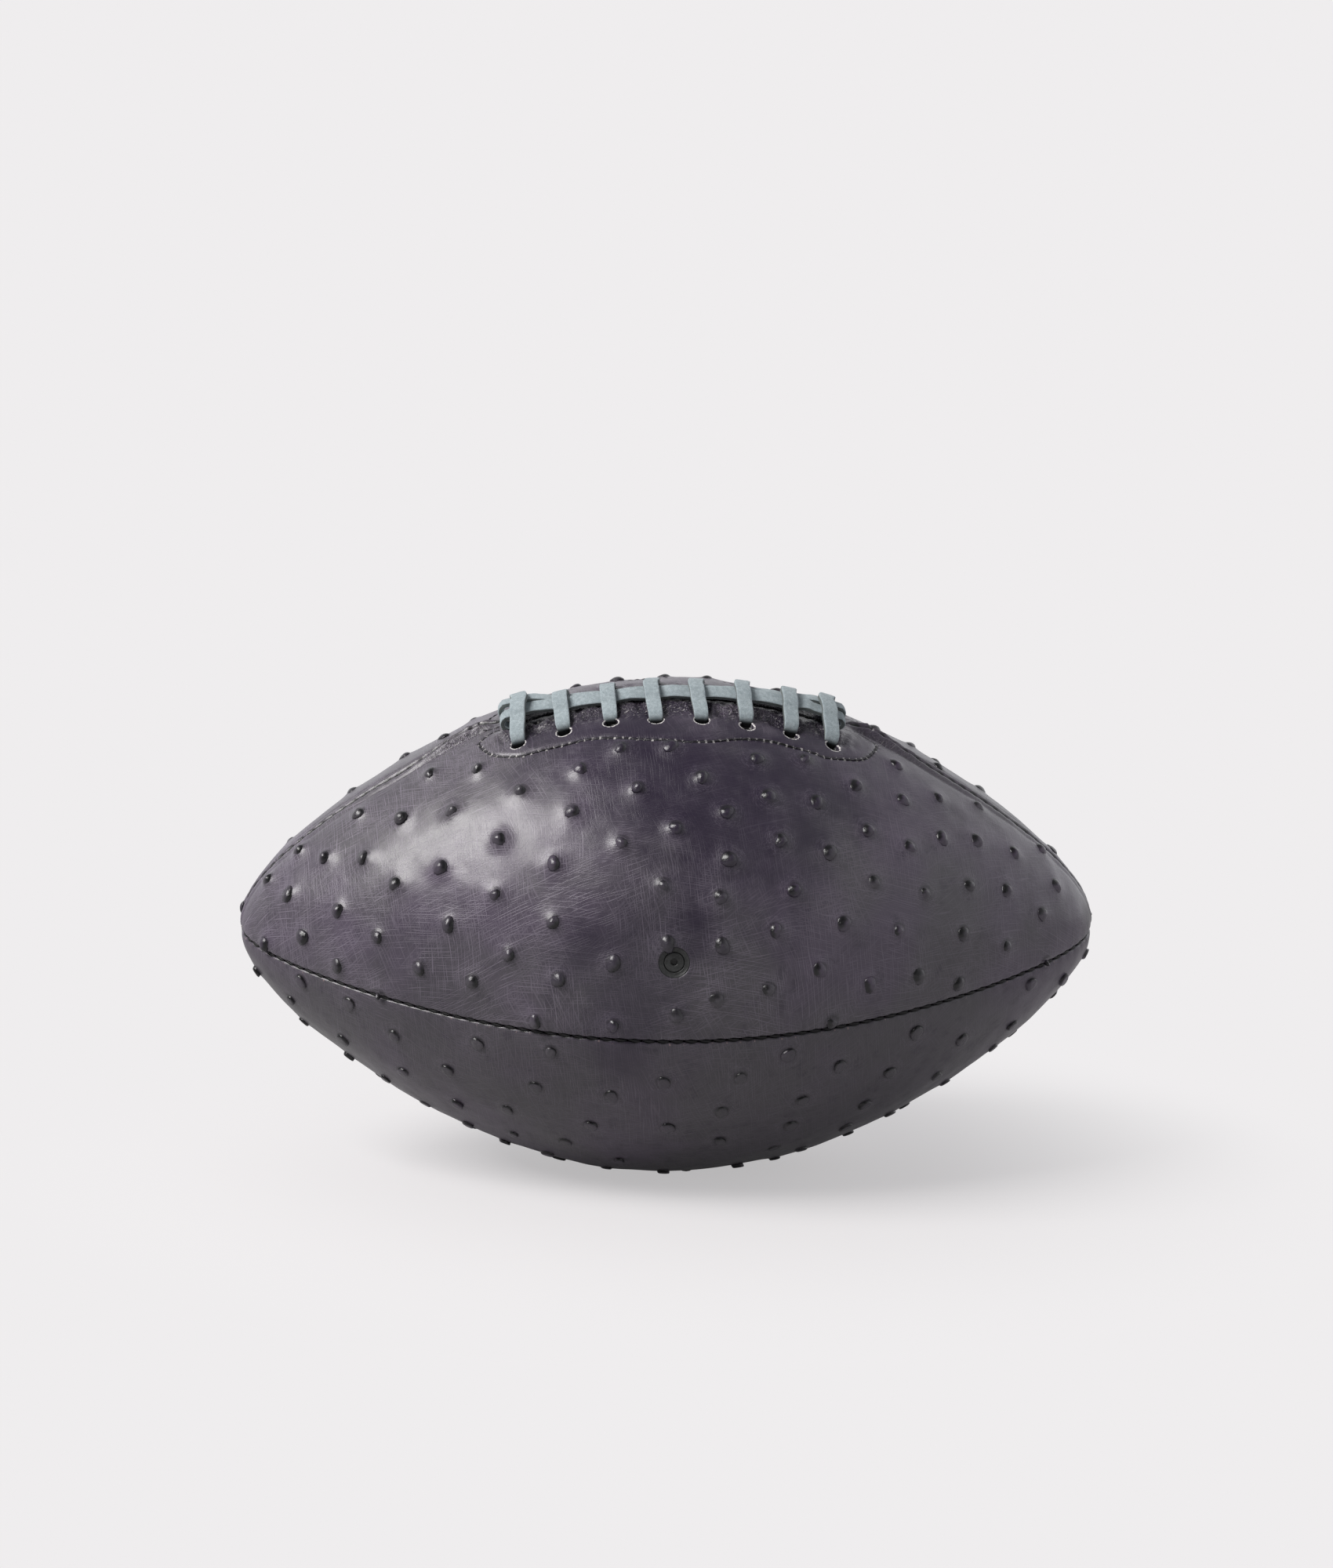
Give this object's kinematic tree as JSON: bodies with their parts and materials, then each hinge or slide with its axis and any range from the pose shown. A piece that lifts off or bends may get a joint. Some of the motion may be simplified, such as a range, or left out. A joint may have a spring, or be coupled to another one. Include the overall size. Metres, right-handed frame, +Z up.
{
  "type": "american football",
  "caption": "Lemon-shaped leather ball of four stitched panels over linings and a bladder, with a valve and a flat lace closing its slit.",
  "frame": {"origin": "bottom centre of the ball, on the floor it lies on, under mid length", "axes": "+X along the ball's long axis, -Y towards the side with the valve, +Z up with the lacing near the top and rolled towards -Y"},
  "size_m": [0.285, 0.1646, 0.1661],
  "materials": {
    "leather": "satin dark plum-grey leather with raised quill bumps",
    "lining_cloth": "matt laminated cotton lining",
    "facing_vinyl": "matt coated facing under the lace",
    "bladder_rubber": "matt black bladder rubber",
    "valve_rubber": "dark grey moulded rubber",
    "lace_suede": "grey-blue napped suede lace",
    "seam_thread": "dark waxed sewing thread",
    "facing_thread": "grey waxed sewing thread"
  },
  "bodies": {
    "root": {"front_upper_panel": "leather", "front_lower_panel": "leather", "back_lower_panel": "leather", "back_upper_panel": "leather", "front_upper_lining": "lining_cloth", "front_lower_lining": "lining_cloth", "back_lower_lining": "lining_cloth", "back_upper_lining": "lining_cloth", "front_lace_facing": "facing_vinyl", "back_lace_facing": "facing_vinyl", "lace_tongue": "facing_vinyl", "bladder": "bladder_rubber", "valve_housing": "valve_rubber", "valve_plug": "valve_rubber", "lace": "lace_suede", "laced_seam_thread_left": "seam_thread", "laced_seam_thread_right": "seam_thread", "front_seam_thread": "seam_thread", "bottom_seam_thread": "seam_thread", "back_seam_thread": "seam_thread", "front_facing_stitching": "facing_thread", "back_facing_stitching": "facing_thread"}
  },
  "joints": []
}
